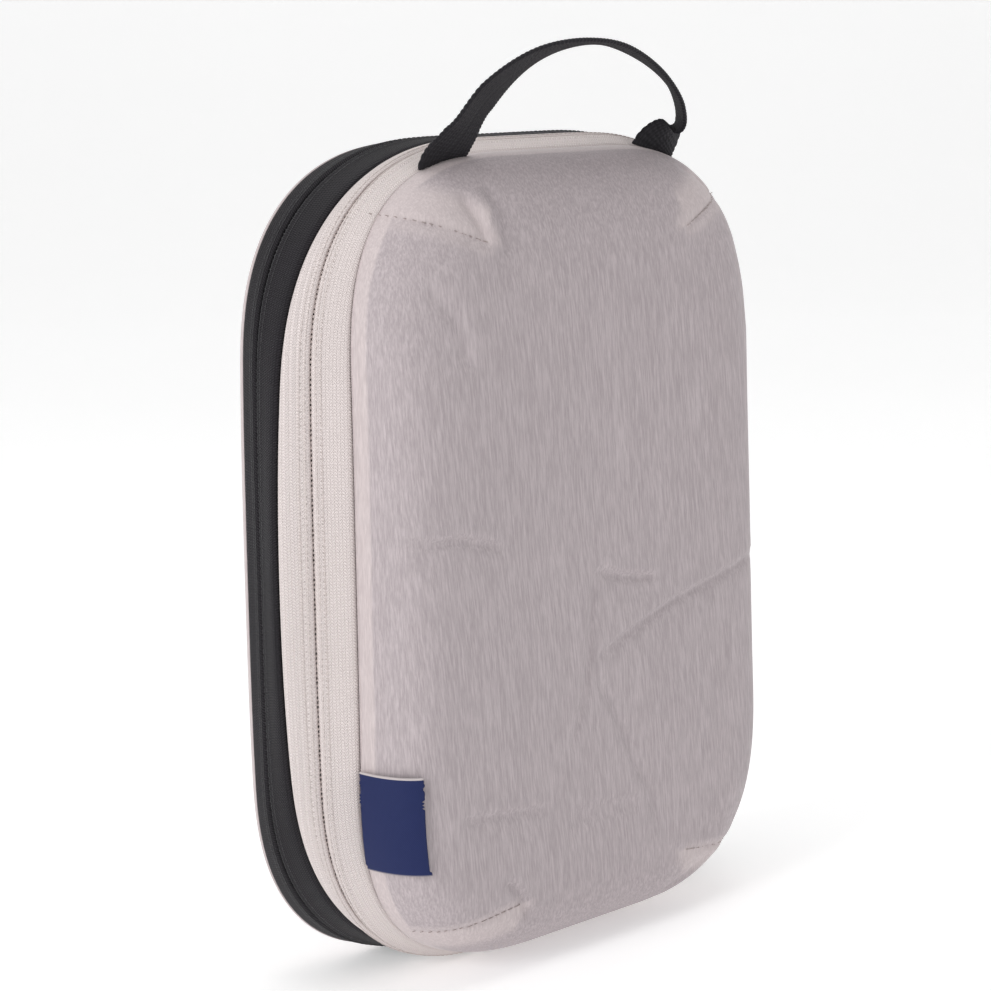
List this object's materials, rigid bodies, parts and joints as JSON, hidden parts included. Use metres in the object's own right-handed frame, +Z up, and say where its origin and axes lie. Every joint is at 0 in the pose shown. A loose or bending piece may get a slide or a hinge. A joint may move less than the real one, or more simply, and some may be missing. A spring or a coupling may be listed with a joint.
{
  "type": "packing cube",
  "caption": "Soft zipped travel organiser with a lid on a wrap-round zip, an expansion gusset behind a second zip, a webbing handle and a folded side label.",
  "frame": {"origin": "middle of the flat patch on the bottom that the cube stands on", "axes": "+Z up, the cube's long side; -Y the front with the lid; +X the right-hand side with the sliders"},
  "size_m": [0.2173, 0.0787, 0.2989],
  "materials": {
    "panel_fabric": "thin translucent heathered nylon in plain weave, lilac grey",
    "white_tape": "woven zip tape, warm off-white",
    "black_tape": "woven zip tape, black twill",
    "white_coil": "off-white nylon coil, satin",
    "black_coil": "black nylon coil, satin",
    "lining_tape": "pale grey binding tape and hinge fabric, plain weave",
    "webbing": "black polyester webbing, coarse ribs",
    "label": "navy woven label, plain",
    "slider_metal": "die-cast zip slider, black lacquer, satin"
  },
  "bodies": {
    "shell": {"main_zip_rear_tape": "white_tape", "main_zip_rear_coil": "white_coil", "compression_zip_front_tape": "black_tape", "compression_zip_front_coil": "black_coil", "middle_seam_binding": "lining_tape", "hinge_strip": "lining_tape", "expansion_gusset": "panel_fabric", "main_zip_end_stop_left": "white_coil", "main_zip_end_stop_right": "white_coil", "compression_zip_end_stop_left": "black_coil", "compression_zip_end_stop_right": "black_coil"},
    "lid": {"front_panel": "panel_fabric", "main_zip_front_tape": "white_tape", "main_zip_front_coil": "white_coil", "front_seam_binding": "lining_tape", "side_label": "label"},
    "back": {"back_panel": "panel_fabric", "compression_zip_rear_tape": "black_tape", "compression_zip_rear_coil": "black_coil", "back_seam_binding": "lining_tape"},
    "handle": {"handle_strap": "webbing"},
    "main_slider": {"main_zip_slider": "slider_metal", "main_zip_crown": "slider_metal"},
    "main_pull": {"main_zip_pull": "slider_metal"},
    "compression_slider": {"compression_zip_slider": "slider_metal", "compression_zip_crown": "slider_metal"},
    "compression_pull": {"compression_zip_pull": "slider_metal"}
  },
  "joints": [
    {"name": "lid_hinge", "type": "hinge", "parent": "shell", "child": "lid", "pos_m": [0, -0.0175, 0.0035], "axis": [1, 0, 0], "range_deg": [0, 175]},
    {"name": "back_expand", "type": "slide", "parent": "shell", "child": "back", "axis": [0, 1, 0], "range_m": [0, 0.03], "deforming": ["expansion_gusset"]},
    {"name": "handle_swing", "type": "hinge", "parent": "lid", "child": "handle", "pos_m": [0, -0.0175, 0.2612], "axis": [1, 0, 0], "range_deg": [-70, 10]},
    {"name": "main_slider_travel", "type": "slide", "parent": "lid", "child": "main_slider", "axis": [0, 0, 1], "range_m": [0, 0.09]},
    {"name": "main_pull_swing", "type": "hinge", "parent": "main_slider", "child": "main_pull", "pos_m": [0.09996, -0.01144, 0.084], "axis": [-0.7757, -0.6311, 0], "range_deg": [0, 170]},
    {"name": "compression_slider_travel", "type": "slide", "parent": "back", "child": "compression_slider", "axis": [0, 0, 1], "range_m": [0, 0.085]},
    {"name": "compression_pull_swing", "type": "hinge", "parent": "compression_slider", "child": "compression_pull", "pos_m": [0.10752, 0.00951, 0.088], "axis": [0.1922, -0.9814, 0], "range_deg": [0, 170]}
  ]
}
